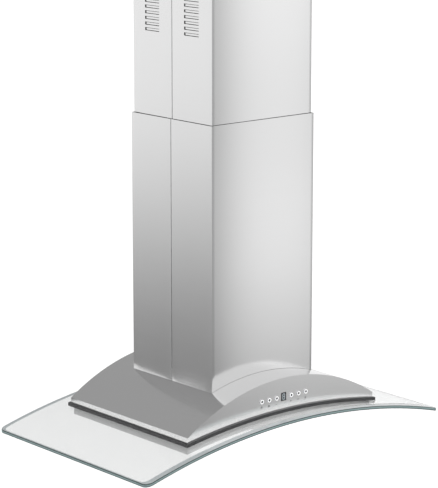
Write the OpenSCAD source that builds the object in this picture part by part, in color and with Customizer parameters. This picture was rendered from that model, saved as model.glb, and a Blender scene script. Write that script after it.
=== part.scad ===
// Island range hood: telescoping chimney, arched steel body and bent glass canopy.
// Millimetres. The origin is at the ceiling, in the middle of the mounting bracket.
// X runs along the width, -Y is the control side and the hood hangs towards -Z.

/* [Chimney] */
// Width of the lower chimney cover
chimney_w = 309; // [300:1:330]
// Depth of the lower chimney cover
chimney_d = 284; // [276:1:300]
// Height of the lower cover above the crown of the body
cover_h = 586; // [520:1:700]
// Length of the upper cover that shows above the lower one
upper_show = 400; // [370:1:480]
// Length of the upper cover that hides inside the lower one
upper_hidden = 200; // [150:1:240]
// Sheet thickness of the covers
cover_t = 1; // [0.8:0.1:1.2]
// Gap between the two covers
cover_gap = 3.4; // [3:0.1:4.5]

/* [Vents] */
// Slots in each bank
vent_count = 13; // [6:1:14]
// Length of a slot
vent_l = 50; // [30:1:80]
// Height of a slot
vent_h = 7; // [4:0.5:9]
// Distance from slot to slot
vent_pitch = 12.8; // [11:0.1:14]
// Height of the lowest slot above the lower cover
vent_rise = 192; // [120:1:210]

/* [Body] */
// Width of the steel body
body_w = 570; // [520:1:620]
// Depth of the steel body
body_d = 428; // [400:1:460]
// Height of the front face in the middle
body_h = 73.4; // [66:0.1:90]
// Radius of the arched top
body_r = 511; // [480:1:560]
// Sheet thickness of the body
body_t = 1.5; // [1:0.1:2]

/* [Glass] */
// Width of the glass canopy
glass_w = 900; // [760:1:1050]
// Depth of the glass canopy
glass_d = 552; // [500:1:620]
// Thickness of the glass
glass_t = 8; // [6:1:12]
// Radius of the bend, on the upper surface
glass_r = 1634; // [1450:1:1800]
// Corner radius of the glass
glass_corner = 18; // [10:1:70]
// Thickness of the dark band between body and glass
band_t = 7.5; // [5:0.5:10]
// How far the dark band stands out of the body
band_out = 5; // [2:0.5:10]

/* [Tray] */
// Width of the tray under the glass
tray_w = 560; // [530:1:600]
// Depth of the tray, front to back
tray_d = 416; // [400:1:440]
// Height of the tray
tray_h = 16; // [15:1:22]
// Width of one baffle filter
filter_w = 212; // [184:1:216]
// Length of one baffle filter
filter_d = 316; // [280:1:320]
// Thickness of a filter
filter_t = 10; // [8:1:11]
// Baffle strips in the lower row of a filter
baffles = 9; // [6:1:11]
// Radius of a lamp
lamp_r = 19; // [15:1:20]

/* [Controls] */
// Distance from button to button
button_pitch = 22.5; // [18:0.5:26]
// Radius of a button
button_r = 5; // [4:0.1:6]
// Travel of a button
button_travel = 1.5; // [1:0.1:2]
// Width of the display window
display_w = 15.4; // [12:0.1:20]
// Height of the display window
display_h = 19.4; // [14:0.1:24]

/* [Blower] */
// Outside radius of the duct collar
duct_r = 75; // [70:0.5:76]
// Height of the duct collar
collar_h = 60; // [50:1:70]
// Radius of the fan wheel
wheel_r = 78; // [70:1:80]
// Width of the fan wheel
wheel_w = 104; // [90:1:106]
// Blades of the fan wheel
blades = 30; // [20:1:36]
// Radius of the motor
motor_r = 42; // [36:1:46]

/* [Frame] */
// Height adjustment of the frame
frame_travel = 100; // [60:5:110]
// Bolt spacing of the ceiling bracket along X
ceiling_x = 250; // [240:1:256]
// Bolt spacing of the ceiling bracket along Y
ceiling_y = 228; // [220:1:232]
// Radius of the ceiling bolt holes
ceiling_hole_r = 4.5; // [3:0.1:5]

/* [Hidden] */
$fn = 96;
eps = 0.01;
steel = [0.78, 0.78, 0.79];
zinc = [0.66, 0.67, 0.69];
dark = [0.12, 0.12, 0.13];

// Heights, from the ceiling down
z_cover_top = -upper_show;
z_crown = z_cover_top - cover_h;
z_body_centre = z_crown - body_r;
z_base = z_crown - body_h;
z_arch = z_base - band_t - glass_r;
// Radii of the arched layers about the bend's own centre
r_base = glass_r + band_t;
r_under = glass_r - glass_t;
seal_t = 2;
r_tray = r_under - seal_t;
r_tray_low = r_tray - tray_h;
arch_fn = 1440;

// Covers
upper_w = chimney_w - 2 * (cover_t + cover_gap);
upper_d = chimney_d - 2 * (cover_t + cover_gap);
upper_l = upper_show + upper_hidden;
seam = 0.3;
strip_w = 20;
strip_t = 0.8;
rest_gap = 0.3;

// Fan box and frame
// Distance from the outside of the lower cover to the fan box
box_side = 8.5;
box_front = 9;
box_w = chimney_w - 2 * box_side;
box_d = chimney_d - 2 * box_front;
box_t = 1;
box_low = z_crown - 36;
box_top = z_crown + 250;
rail_leg = 26;
rail_t = 1.8;
rail_low = z_crown + 12;
rail_top = z_cover_top + 74;
slide_gap = 0.4;
upper_rail_low = box_top + frame_travel + 50;
bracket_t = 3;
bracket_flange = 30;
screw_z = -18;
screw_r = 1.5;
rail_screw_y = [-box_d / 2 + 16, box_d / 2 - 16];
lock_z = rail_top - 40;
lock_r = 3;
lock_head_r = 5.5;

// Blower
fan_y = -30;
fan_z = z_crown + 96;
scroll_r = 98;
scroll_w = 124;
scroll_t = 1;
outlet_half = 60;
outlet_y = fan_y + scroll_r - outlet_half;
outlet_z = fan_z + 115;
inlet_r = 64;
shaft_r = 4;
run_gap = 0.05;
hub_r = 12;
motor_in = -12;
motor_l = 84;

// Junction box on the fan box
junction_x = -72;
junction_y = 112;
junction_w = 84;
junction_d = 34;
junction_h = 38;
gland_r = 8;
cable_r = 4;

// Damper
damper_z = box_top + 22;
spindle_r = 2;
knuckle_r = 3.4;
flap_r = duct_r - 3.4;
flap_t = 1;
knuckle_l = 18;

// Tray, filters and lamps
skin = 1.2;
// Half of the bar between the filters: hanging open, they lean in by their length over the bend's radius
r_filter = r_tray_low + 0.5;
filter_pass = 2;
filter_lean = filter_d / r_filter;
filter_middle = (filter_lean * filter_w / 2 + filter_pass) / (1 - filter_lean);
// Ledges of the tray round the filters
ledge_x = 5;
ledge_y = 10;
filter_x = filter_w / 2 + filter_middle;
opening_w = 2 * (filter_x + filter_w / 2 + ledge_x);
opening_d = filter_d - 2 * ledge_y;
filter_gap = 1;
filter_rim = 10;
hinge_r = 2;
hinge_in = 3;
ear_t = 4;
handle_w = 52;
handle_h = 13;
handle_r = 2;
hinge_z = filter_t - 2.6;
// Room behind the hinge axis for the filter's lower rear corner as it swings
hinge_sweep = norm([hinge_in, hinge_z]) + 0.6;
lamp_x = 150;
lamp_y = 185;
// The flat flange of a lamp touches the arched tray along its middle only
lamp_seat = pow(lamp_r + 1, 2) / (2 * r_tray_low) + 0.02;
bolt_x = body_w / 2 - 17;
bolt_y = body_d / 2 - 15;
bolt_r = 3;
bushing_r = 5.5;

// Controls, on the front face
front_y = -body_d / 2;
button_z = z_crown - 44.4;
icon_z = button_z - 14.6;
button_x = [-3, -2, -1, 1, 2, 3];
button_out = 3;
button_gap = 0.3;
bezel_r = button_r + 1.5;
board_y = front_y + 14;
window_out = 0.4;
window_in = 2.6;
bar_l = 5.4;
bar_w = 1.2;

function arch_angle(x, r) = asin(x / r);

// Places children on the arch at a given distance from the bend's centre, turned to its slope.
module on_arch(x, y, r) {
    translate([0, y, z_arch]) rotate([0, arch_angle(x, r), 0]) translate([0, 0, r]) children();
}

// Arched slab between two radii of the glass bend.
module arch_slab(r_out, r_in, w, d) {
    translate([0, 0, z_arch]) rotate([90, 0, 0])
        linear_extrude(d, center = true)
            intersection() {
                difference() {
                    circle(r_out, $fn = arch_fn);
                    circle(r_in, $fn = arch_fn);
                }
                translate([-w / 2, r_in / 2]) square([w, r_out]);
            }
}

module box(w, d, low, high) {
    translate([-w / 2, -d / 2, low]) cube([w, d, high - low]);
}

module rod_x(r, x0, x1) {
    translate([x0, 0, 0]) rotate([0, 90, 0]) cylinder(r = r, h = x1 - x0);
}

// Rod along Y from y0 to y1
module rod_y(r, y0, y1) {
    translate([0, y1, 0]) rotate([90, 0, 0]) cylinder(r = r, h = y1 - y0);
}

module rounded_rect(w, d, r) {
    square([w - 2 * r, d], center = true);
    square([w, d - 2 * r], center = true);
    for (sx = [-1, 1], sy = [-1, 1])
        translate([sx * (w / 2 - r), sy * (d / 2 - r)]) circle(r);
}

// ---- Ceiling mount ----

module ceiling_bracket() {
    inner_w = upper_w - 2 * cover_t;
    inner_d = upper_d - 2 * cover_t;
    color(zinc) difference() {
        box(inner_w, inner_d, -bracket_flange, 0);
        box(box_w - 2 * slide_gap, box_d - 2 * slide_gap, -bracket_flange - 1, -bracket_t);
        box(200, 186, -bracket_flange, 1);
        for (sx = [-1, 1], sy = [-1, 1])
            translate([sx * ceiling_x / 2, sy * ceiling_y / 2, -bracket_t - 1])
                cylinder(r = ceiling_hole_r, h = bracket_t + 2);
        for (x = [-90, 90]) translate([x, 0, screw_z]) rod_y(screw_r, -upper_d, upper_d);
        for (y = rail_screw_y) translate([0, y, screw_z]) rod_x(screw_r, -upper_w, upper_w);
    }
}

// Angle rail in the corner (sx, sy): its outer faces lie on a rectangle w by d.
module angle_rail(sx, sy, w, d, t, leg, low, high) {
    scale([sx, sy, 1]) difference() {
        translate([w / 2 - leg, d / 2 - leg, low]) cube([leg, leg, high - low]);
        translate([w / 2 - leg - 1, d / 2 - leg - 1, low - 1])
            cube([leg + 1 - t, leg + 1 - t, high - low + 2]);
    }
}

module upper_rail(sx, sy) {
    slot_low = lock_z - lock_r - 0.4;
    slot_h = frame_travel + 2 * lock_r + 0.8;
    color(zinc) difference() {
        angle_rail(sx, sy, box_w - 2 * slide_gap, box_d - 2 * slide_gap, 2, rail_leg,
            upper_rail_low, -bracket_t);
        translate([sx > 0 ? box_w / 2 - 6 : -box_w / 2 - 1, sy * (box_d / 2 - 16) - lock_r - 0.3, slot_low])
            cube([7, 2 * lock_r + 0.6, slot_h]);
        for (z = [screw_z, upper_rail_low + 12])
            translate([0, sy * (box_d / 2 - 16), z]) rod_x(screw_r, -upper_w, upper_w);
    }
}

module upper_brace() {
    w = box_w - 2 * slide_gap - 4;
    d = box_d - 2 * slide_gap - 4;
    color(zinc) difference() {
        box(w, d, upper_rail_low, upper_rail_low + 24);
        box(w - 4, d - 4, upper_rail_low - 1, upper_rail_low + 25);
        for (y = rail_screw_y) translate([0, y, upper_rail_low + 12]) rod_x(screw_r, -w, w);
    }
}

// Pan head screw whose shank runs up from the origin; its head is below.
module pan_screw() {
    cylinder(r = screw_r, h = 4);
    translate([0, 0, -1.4]) cylinder(r = 3, h = 1.4);
}

// Screws of the rails and the brace, from inside, and of the upper cover, from outside
module mount_screws() {
    head_x = box_w / 2 - slide_gap - 2;
    color(steel) {
        for (sx = [-1, 1], sy = [-1, 1], at = [[head_x, screw_z], [head_x - 2, upper_rail_low + 12]])
            translate([sx * at[0], sy * (box_d / 2 - 16), at[1]]) rotate([0, sx * 90, 0]) pan_screw();
        for (x = [-90, 90], s = [-1, 1])
            translate([x, s * upper_d / 2, screw_z]) rotate([s * 90, 0, 0]) pan_screw();
    }
}

// ---- Chimney covers ----

// One U-shaped half of a square tube, side = -1 for the front half and 1 for the rear one.
module half_cover(side, w, d, low, high) {
    difference() {
        box(w, d, low, high);
        box(w - 2 * cover_t, d - 2 * cover_t, low - 1, high + 1);
        translate([-w / 2 - 1, side > 0 ? -d : -seam, low - 1]) cube([w + 2, d + seam, high - low + 2]);
    }
}

module vent_bank(side) {
    for (i = [0 : vent_count - 1])
        translate([-upper_w, side * upper_d / 4 - vent_l / 2, z_cover_top + vent_rise + i * vent_pitch])
            cube([2 * upper_w, vent_l, vent_h]);
}

module upper_chimney(side) {
    color(steel) difference() {
        half_cover(side, upper_w, upper_d, -upper_l, 0);
        vent_bank(side);
        for (x = [-90, 90]) translate([x, 0, screw_z]) rod_y(screw_r, -upper_d, upper_d);
    }
}

// Two strips behind the seams of a cover whose inside width is w
module seam_strips(w, low, high) {
    color(steel) for (x = [-w / 2, w / 2 - strip_t])
        translate([x, -strip_w / 2, low]) cube([strip_t, strip_w, high - low]);
}

// The lower covers end on the arch of the body, a hair above it.
module lower_chimney(side) {
    color(steel) difference() {
        half_cover(side, chimney_w, chimney_d, z_crown - 60, z_cover_top);
        translate([0, 0, z_body_centre]) rotate([90, 0, 0])
            cylinder(r = body_r + rest_gap, h = 2 * body_d, center = true, $fn = 720);
    }
}

// ---- Sliding frame and fan box ----

module lower_rail(sx, sy) {
    color(zinc) difference() {
        angle_rail(sx, sy, box_w + 2 * rail_t, box_d + 2 * rail_t, rail_t, rail_leg, rail_low, rail_top);
        translate([0, sy * (box_d / 2 - 16), lock_z])
            rod_x(lock_r, sx > 0 ? 100 : -200, sx > 0 ? 200 : -100);
    }
}

module frame_lock_bolts() {
    inner = box_w / 2 - slide_gap - 2 - 0.3;
    color(steel) for (sx = [-1, 1], sy = [-1, 1])
        translate([0, sy * (box_d / 2 - 16), lock_z]) scale([sx, 1, 1]) union() {
            rod_x(lock_r, inner - 1, box_w / 2 + rail_t);
            rod_x(lock_head_r, inner - 4.5, inner);
        }
}

module fan_box() {
    color(zinc) difference() {
        box(box_w, box_d, box_low, box_top);
        box(box_w - 2 * box_t, box_d - 2 * box_t, box_low - 1, box_top - box_t);
        translate([0, 0, box_top - 5]) cylinder(r = duct_r - skin, h = 10);
    }
}

// Side view of the scroll: a round chamber that opens into a straight outlet.
module scroll_outline(grow) {
    translate([fan_y, fan_z]) circle(scroll_r - scroll_t + grow);
    translate([outlet_y - outlet_half + scroll_t - grow, fan_z])
        square([2 * (outlet_half - scroll_t + grow), outlet_z - fan_z]);
}

module along_x(w) {
    rotate([90, 0, 90]) linear_extrude(w, center = true) children();
}

module scroll_housing() {
    color(zinc) difference() {
        along_x(scroll_w) scroll_outline(scroll_t);
        along_x(scroll_w - 2 * scroll_t) scroll_outline(0);
        translate([0, outlet_y, 0])
            box(scroll_w - 2 * scroll_t, 2 * (outlet_half - scroll_t), outlet_z - 5, outlet_z + 5);
        translate([0, fan_y, fan_z]) rod_x(inlet_r + 4, -scroll_w, scroll_w);
    }
}

// Bell-mouthed ring in each side of the scroll
module inlet_ring(s) {
    color(zinc) translate([s * scroll_w / 2, fan_y, fan_z]) rotate([0, s * 90, 0])
        rotate_extrude() {
            translate([inlet_r, -6]) square([1.2, 12]);
            translate([inlet_r, 0]) square([12, 1.2]);
            difference() {
                translate([inlet_r + 5, 6]) circle(5);
                translate([inlet_r + 5, 6]) circle(3.8);
                translate([inlet_r - 5, -4]) square([20, 10]);
            }
        }
}

module fan_wheel() {
    blade_in = wheel_r - 16;
    color(zinc) translate([0, fan_y, fan_z]) difference() {
        union() {
            for (x = [-wheel_w / 2, wheel_w / 2 - 2]) difference() {
                rod_x(wheel_r, x, x + 2);
                rod_x(blade_in, x - 1, x + 3);
            }
            rod_x(wheel_r - 1, 0, 2);
            rod_x(hub_r, 0, 20);
            for (i = [0 : blades - 1])
                rotate([i * 360 / blades, 0, 0])
                    translate([-wheel_w / 2, wheel_r - 8, 0]) rotate([35, 0, 0])
                        translate([0, -7, -0.6]) cube([wheel_w, 14, 1.2]);
        }
        rod_x(shaft_r, -1, 30);
    }
}

module motor_shaft() {
    color(steel) translate([0, fan_y, fan_z]) rod_x(shaft_r, motor_in - 40, 24);
}

module motor() {
    color([0.45, 0.46, 0.48]) translate([0, fan_y, fan_z]) difference() {
        union() {
            rod_x(motor_r, motor_in - motor_l + 8, motor_in - 8);
            rod_x(motor_r - 10, motor_in - motor_l, motor_in);
            rod_x(shaft_r + 6, motor_in, motor_in + 6);
        }
        rod_x(shaft_r + run_gap, motor_in - 42, motor_in + 7);
    }
}

module motor_bracket() {
    x0 = motor_in - 66;
    color(zinc) translate([0, fan_y, fan_z]) union() {
        difference() {
            rod_x(motor_r + 3, x0, x0 + 10);
            rod_x(motor_r, x0 - 1, x0 + 11);
        }
        for (a = [30, 150, 270]) rotate([a, 0, 0]) {
            translate([x0, motor_r + 2, -6]) cube([2, 42, 12]);
            translate([x0, motor_r + 42, -6]) cube([-scroll_w / 2 - x0, 2, 12]);
        }
    }
}

module run_capacitor() {
    color([0.9, 0.9, 0.88]) translate([box_w / 2 - 40, box_d / 2 - 24, fan_z + 40]) union() {
        cylinder(r = 16, h = 62);
        translate([0, 0, 62]) cylinder(r = 4, h = 6);
    }
}

// The scroll's square outlet turns into the round collar.
module outlet_transition() {
    top_r = duct_r - skin;
    module funnel(extra, dz) {
        hull() {
            translate([0, outlet_y, outlet_z - dz])
                cube([scroll_w - 4 + 2 * extra, 2 * outlet_half - 4 + 2 * extra, 0.1 + dz], center = true);
            translate([0, 0, box_top - box_t - 0.1])
                cylinder(r = top_r - 1 + extra, h = 0.1 + dz, $fn = 32);
        }
    }
    color(zinc) difference() {
        intersection() {
            funnel(1, 0);
            box(300, 300, outlet_z, box_top - box_t);
        }
        funnel(0, 1);
    }
}

module duct_collar() {
    color(zinc) difference() {
        union() {
            translate([0, 0, box_top]) cylinder(r = duct_r + 14, h = skin);
            translate([0, 0, box_top]) cylinder(r = duct_r, h = collar_h);
        }
        translate([0, 0, box_top - 1]) cylinder(r = duct_r - skin, h = collar_h + 2);
        translate([0, 0, damper_z]) rod_x(spindle_r, -duct_r - 1, duct_r + 1);
    }
}

module damper_spindle() {
    color(steel) translate([0, 0, damper_z]) rod_x(spindle_r, -duct_r, duct_r);
}

// Half-round flap whose knuckles turn on the spindle; side = -1 is the front one.
module damper_flap(side) {
    starts = side < 0 ? [-50, 14] : [-31, 33];
    color(zinc) translate([0, 0, damper_z]) difference() {
        union() {
            intersection() {
                translate([0, 0, -flap_t / 2]) cylinder(r = flap_r, h = flap_t);
                translate([-duct_r, side > 0 ? 5 : -duct_r - 5, -5]) cube([2 * duct_r, duct_r, 10]);
            }
            for (x = starts) {
                rod_x(knuckle_r, x, x + knuckle_l);
                translate([x, side > 0 ? 0 : -6, -flap_t / 2]) cube([knuckle_l, 6, flap_t]);
            }
        }
        rod_x(spindle_r + run_gap, -duct_r, duct_r);
    }
}

module junction_box() {
    color(zinc) translate([junction_x, junction_y, box_top]) difference() {
        translate([-junction_w / 2, -junction_d / 2, 0]) cube([junction_w, junction_d, junction_h]);
        translate([-junction_w / 2 + 1, -junction_d / 2 + 1, -1])
            cube([junction_w - 2, junction_d - 2, junction_h]);
        cylinder(r = gland_r, h = 2 * junction_h);
    }
}

// Nylon gland in the lid of the junction box, where the supply cable comes in
module cable_gland() {
    color(dark) translate([junction_x, junction_y, box_top + junction_h]) difference() {
        union() {
            translate([0, 0, -8]) cylinder(r = gland_r, h = 18);
            cylinder(r = gland_r + 3, h = 5);
            translate([0, 0, -5]) cylinder(r = gland_r + 3, h = 4, $fn = 6);
        }
        translate([0, 0, -9]) cylinder(r = cable_r, h = 20);
    }
}

// ---- Body, glass and tray ----

// Front view of the body: arched top, short upright lip at each end, arched base.
module body_outline(shrink) {
    intersection() {
        translate([0, z_body_centre]) circle(body_r - shrink, $fn = 1080);
        translate([-body_w / 2 + shrink, z_base - 100]) square([body_w - 2 * shrink, 200]);
    }
}

module body_extrude(d, shrink) {
    rotate([90, 0, 0]) linear_extrude(d, center = true)
        difference() {
            body_outline(shrink);
            translate([0, z_arch]) circle(r_base + (shrink > 0 ? -5 : 0), $fn = arch_fn);
        }
}

module control_holes() {
    for (i = button_x)
        translate([i * button_pitch, front_y, button_z]) rod_y(button_r + button_gap, -5, 20);
    translate([0, front_y, button_z])
        cube([display_w, 20, display_h], center = true);
}

module hood_body() {
    color(steel) difference() {
        union() {
            difference() {
                body_extrude(body_d, 0);
                body_extrude(body_d - 2 * body_t, body_t);
            }
            // Flange that the glass bolts hold
            difference() {
                arch_slab(r_base + body_t, r_base, body_w - 1, body_d - 1);
                box(body_w - 60, body_d - 60, z_base - 100, z_base + 50);
            }
            // Collar that holds the fan box
            intersection() {
                difference() {
                    box(box_w + 2 * skin, box_d + 2 * skin, box_low, z_crown);
                    box(box_w, box_d, box_low - 1, z_crown + 1);
                }
                body_extrude(body_d, 0);
            }
        }
        box(box_w, box_d, box_low - 1, z_crown + 1);
        control_holes();
        at_bolts() bolt_hole();
    }
}

// Bolt places round the body's flange, on the glass bend
module at_bolts() {
    for (sx = [-1, 1], y = [-110, 110]) on_arch(sx * bolt_x, y, glass_r) children();
    for (sx = [-1, 1], sy = [-1, 1]) on_arch(sx * 90, sy * bolt_y, glass_r) children();
}

// Hole for a glass bolt, from above the body's flange down through the tray
module bolt_hole() {
    translate([0, 0, -30]) cylinder(r = bolt_r, h = 42);
}

module body_band() {
    color(dark) difference() {
        arch_slab(r_base, glass_r, body_w + 2 * band_out, body_d + 2 * band_out);
        box(body_w - 60, body_d - 60, z_base - 100, z_base + 50);
        at_bolts() bolt_hole();
    }
}

module glass_canopy() {
    color([0.8, 0.9, 0.88, 0.45]) difference() {
        intersection() {
            arch_slab(glass_r, r_under, glass_w + 40, glass_d + 40);
            translate([0, 0, z_base - 300])
                linear_extrude(400) rounded_rect(glass_w, glass_d, glass_corner);
        }
        box(body_w - 60, body_d - 80, z_base - 100, z_base + 50);
        at_bolts() translate([0, 0, -30]) cylinder(r = bushing_r, h = 42);
    }
}

module glass_bushings() {
    color(dark) at_bolts() difference() {
        translate([0, 0, -glass_t + 0.5]) cylinder(r = bushing_r, h = glass_t - 1);
        translate([0, 0, -glass_t]) cylinder(r = bolt_r, h = glass_t + 1);
    }
}

module glass_bolts() {
    head_z = band_t + body_t;
    low = glass_t + seal_t + skin + 5;
    color(steel) at_bolts() {
        translate([0, 0, -low]) cylinder(r = bolt_r, h = low + head_z + 0.3);
        translate([0, 0, head_z + 0.3]) cylinder(r = 6, h = 4, $fn = 6);
    }
}

module tray_seal() {
    color(dark) difference() {
        arch_slab(r_under, r_tray, tray_w - 4, tray_d - 4);
        box(opening_w + 14, opening_d + 44, z_base - 100, z_base + 50);
        at_bolts() bolt_hole();
    }
}

module on_filter(s) {
    on_arch(s * filter_x, 0, r_filter) children();
}

module at_lamps(r) {
    for (sx = [-1, 1], sy = [-1, 1]) on_arch(sx * lamp_x, sy * lamp_y, r) children();
}

module under_tray() {
    ear_low = filter_t - 7;
    ear_x = filter_w / 2 + filter_gap;
    color(steel) difference() {
        union() {
            difference() {
                arch_slab(r_tray, r_tray_low, tray_w, tray_d);
                arch_slab(r_tray - skin, r_tray_low + skin, tray_w - 2 * skin, tray_d - 2 * skin);
                box(opening_w, opening_d, z_arch + r_tray_low + 5, z_base);
            }
            for (s = [-1, 1], x = [-ear_x - ear_t, ear_x])
                on_filter(s) translate([x, filter_d / 2 - 8, ear_low])
                    cube([ear_t, 10, tray_h - skin - 0.5 - ear_low]);
            at_bolts() translate([0, 0, -glass_t - seal_t - skin - 5]) cylinder(r = 6, h = 5.5);
        }
        for (s = [-1, 1]) on_filter(s) {
            translate([-filter_w / 2 - filter_gap, -filter_d / 2 - filter_gap, -20])
                cube([filter_w + 2 * filter_gap, filter_d + 2 * filter_gap, 20 + filter_t + 0.6]);
            translate([-filter_w / 2 - filter_gap, filter_d / 2 - ledge_y, -20])
                cube([filter_w + 2 * filter_gap, ledge_y - hinge_in + hinge_sweep, 60]);
            translate([0, filter_d / 2 - hinge_in, hinge_z])
                rod_x(hinge_r + run_gap, -filter_w / 2 - 5.5, filter_w / 2 + 5.5);
        }
        at_bolts() bolt_hole();
        at_lamps(r_tray_low) cylinder(r = lamp_r - 2, h = 10, center = true);
    }
}

module lamp_housings() {
    color(steel) at_lamps(r_tray_low) difference() {
        union() {
            translate([0, 0, -1.2 - lamp_seat]) cylinder(r = lamp_r + 1, h = 1.2);
            translate([0, 0, -1]) cylinder(r = lamp_r - 2, h = 12);
        }
        translate([0, 0, -2]) cylinder(r = lamp_r - 3.5, h = 12);
    }
}

module lamp_lenses() {
    color([1, 1, 0.94]) at_lamps(r_tray_low) translate([0, 0, -0.8]) cylinder(r = lamp_r - 3.5, h = 2);
}

// ---- Filters ----

module filter_frame(s) {
    color(steel) on_filter(s) difference() {
        union() {
            translate([-filter_w / 2, -filter_d / 2, 0]) cube([filter_w, filter_d, filter_t]);
            translate([0, filter_d / 2 - hinge_in, hinge_z])
                rod_x(hinge_r, -filter_w / 2 - 4.6, filter_w / 2 + 4.6);
            translate([-s * 50, 0, 0]) filter_handle();
        }
        translate([-filter_w / 2 + filter_rim, -filter_d / 2 + filter_rim + 14, -1])
            cube([filter_w - 2 * filter_rim, filter_d - 2 * filter_rim - 14, filter_t + 2]);
        translate([-filter_w / 2 + 1, -filter_d / 2 + 1, 1])
            cube([filter_w - 2, filter_rim + 12, filter_t]);
        translate([-8.3, -filter_d / 2 - 1, 1]) cube([16.6, 10, filter_t]);
        translate([-5.2, -filter_d / 2 + 6, -1]) cube([10.4, 14, 5]);
    }
}

// Bar handle under the front rim of a filter
module filter_handle() {
    translate([0, -filter_d / 2 + 12, -handle_h]) {
        rod_x(handle_r, -handle_w / 2, handle_w / 2);
        for (x = [-handle_w / 2, handle_w / 2]) translate([x, 0, 0]) {
            cylinder(r = handle_r, h = handle_h + 1);
            sphere(handle_r, $fn = 48);
        }
    }
}

module filter_baffles(s) {
    inner_w = filter_w - 2 * filter_rim;
    inner_d = filter_d - 2 * filter_rim - 14;
    pitch = inner_w / baffles;
    color(steel) on_filter(s) for (i = [0 : baffles - 1]) {
        translate([-inner_w / 2 + (i + 0.5) * pitch, -filter_d / 2 + filter_rim + 14, 1]) {
            baffle(0.68 * pitch, inner_d, 0);
        }
        if (i > 0)
            translate([-inner_w / 2 + i * pitch, -filter_d / 2 + filter_rim + 14, filter_t - 1.8])
                baffle(0.68 * pitch, inner_d, -2.6);
    }
}

// Channel-shaped strip whose two lips start at height lip_z
module baffle(w, l, lip_z) {
    translate([-w / 2, 0, 0]) cube([w, l, 0.8]);
    for (x = [-w / 2, w / 2 - 0.8]) translate([x, 0, lip_z]) cube([0.8, l, 3.4]);
}

// Sliding latch in the front rim, with the thumb tab that works it
module filter_latch(s) {
    color(zinc) on_filter(s) union() {
        translate([-8, -filter_d / 2 + 0.2, 1.2]) cube([16, 17, 2.4]);
        translate([-5, -filter_d / 2 + 7, -4]) cube([10, 5, 6]);
    }
}

// ---- Controls ----

module button(n) {
    color([0.86, 0.86, 0.88]) translate([button_x[n - 1] * button_pitch, front_y, button_z]) union() {
        rod_y(button_r, -button_out, 8.6);
        rod_y(button_r + 1.4, 4, 5.5);
    }
}

module button_bezels() {
    color(steel) for (i = button_x)
        translate([i * button_pitch, front_y, button_z]) difference() {
            rod_y(bezel_r, -0.8, 0);
            rod_y(button_r + button_gap, -5, 5);
        }
}

// The dark pane has slots that the light bars of the digit fill.
module display_window() {
    color(dark) translate([0, front_y, button_z]) difference() {
        translate([-display_w / 2, -window_out, -display_h / 2])
            cube([display_w, window_out + window_in, display_h]);
        digit_bars(window_in + 1, window_out + 1);
    }
}

// One bar of the digit, upright or lying, from y = back to y = -out
module digit_bar(x, z, upright, back, out) {
    translate([x, 0, z]) rotate([0, upright ? 90 : 0, 0])
        translate([-bar_l / 2, -out, -bar_w / 2]) cube([bar_l, out + back, bar_w]);
}

module digit_bars(back, out) {
    side = bar_l + 0.8;
    for (z = [-side, 0, side]) digit_bar(0, z, false, back, out);
    for (x = [-side / 2, side / 2], z = [-side / 2, side / 2]) digit_bar(x, z, true, back, out);
}

module display_module() {
    color([0.75, 0.85, 0.9]) translate([0, front_y, button_z]) {
        digit_bars(window_in, window_out);
        translate([-display_w / 2, window_in, -display_h / 2])
            cube([display_w, board_y - front_y - window_in, display_h]);
    }
}

// Flat line from one point to another in the plane of the front face
module stroke(x0, z0, x1, z1) {
    w = 0.7;
    l = norm([x1 - x0, z1 - z0]);
    translate([x0, -0.15, z0]) rotate([0, -atan2(z1 - z0, x1 - x0), 0])
        translate([0, 0, -w / 2]) cube([l, 0.15, w]);
}

module ring_mark(r) {
    difference() {
        rod_y(r, -0.15, 0);
        rod_y(r - 0.7, -1, 1);
    }
}

// Simple signs under the buttons: power, timer, minus, plus, fan and lamp
module control_icons() {
    s = 2.2;
    color(dark) for (i = [0 : 5]) translate([button_x[i] * button_pitch, front_y, icon_z]) {
        if (i == 0) {
            ring_mark(s + 0.4);
            stroke(0, 0.6, 0, s + 1.2);
        }
        if (i == 1) {
            ring_mark(s + 0.4);
            stroke(0, 0, 0, s - 0.2);
            stroke(0, 0, s - 0.9, 0);
        }
        if (i == 2) stroke(-s, 0, s, 0);
        if (i == 3) {
            stroke(-s, 0, s, 0);
            stroke(0, -s, 0, s);
        }
        if (i == 4) for (a = [0, 120, 240]) stroke(0, 0, (s + 0.3) * sin(a), (s + 0.3) * cos(a));
        if (i == 5) {
            ring_mark(s);
            stroke(-1, -s - 0.9, 1, -s - 0.9);
        }
    }
}

module control_board() {
    color([0.1, 0.35, 0.2]) union() {
        translate([-86, board_y, button_z - 16]) cube([172, 1.6, 32]);
        for (i = button_x) translate([i * button_pitch - 3, board_y - 3.6, button_z - 3]) cube([6, 3.8, 6]);
        for (x = [-82, 82])
            translate([x, front_y + body_t, button_z]) rod_y(2.5, 0, board_y - front_y - body_t + 0.1);
    }
}

ceiling_bracket();
upper_rail(-1, -1);  // upper_rail_front_left
upper_rail(1, -1);  // upper_rail_front_right
upper_rail(-1, 1);  // upper_rail_rear_left
upper_rail(1, 1);  // upper_rail_rear_right
upper_brace();
mount_screws();
upper_chimney(-1);  // upper_chimney_front
upper_chimney(1);  // upper_chimney_rear
seam_strips(upper_w - 2 * cover_t, -upper_l + 10, -bracket_flange - 10);  // upper_seam_strips
lower_rail(-1, -1);  // lower_rail_front_left
lower_rail(1, -1);  // lower_rail_front_right
lower_rail(-1, 1);  // lower_rail_rear_left
lower_rail(1, 1);  // lower_rail_rear_right
frame_lock_bolts();
fan_box();
scroll_housing();
inlet_ring(-1);  // inlet_ring_left
inlet_ring(1);  // inlet_ring_right
fan_wheel();
motor_shaft();
motor();
motor_bracket();
run_capacitor();
outlet_transition();
duct_collar();
damper_spindle();
damper_flap(-1);  // damper_flap_front
damper_flap(1);  // damper_flap_rear
junction_box();
cable_gland();
hood_body();
body_band();
glass_canopy();
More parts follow.
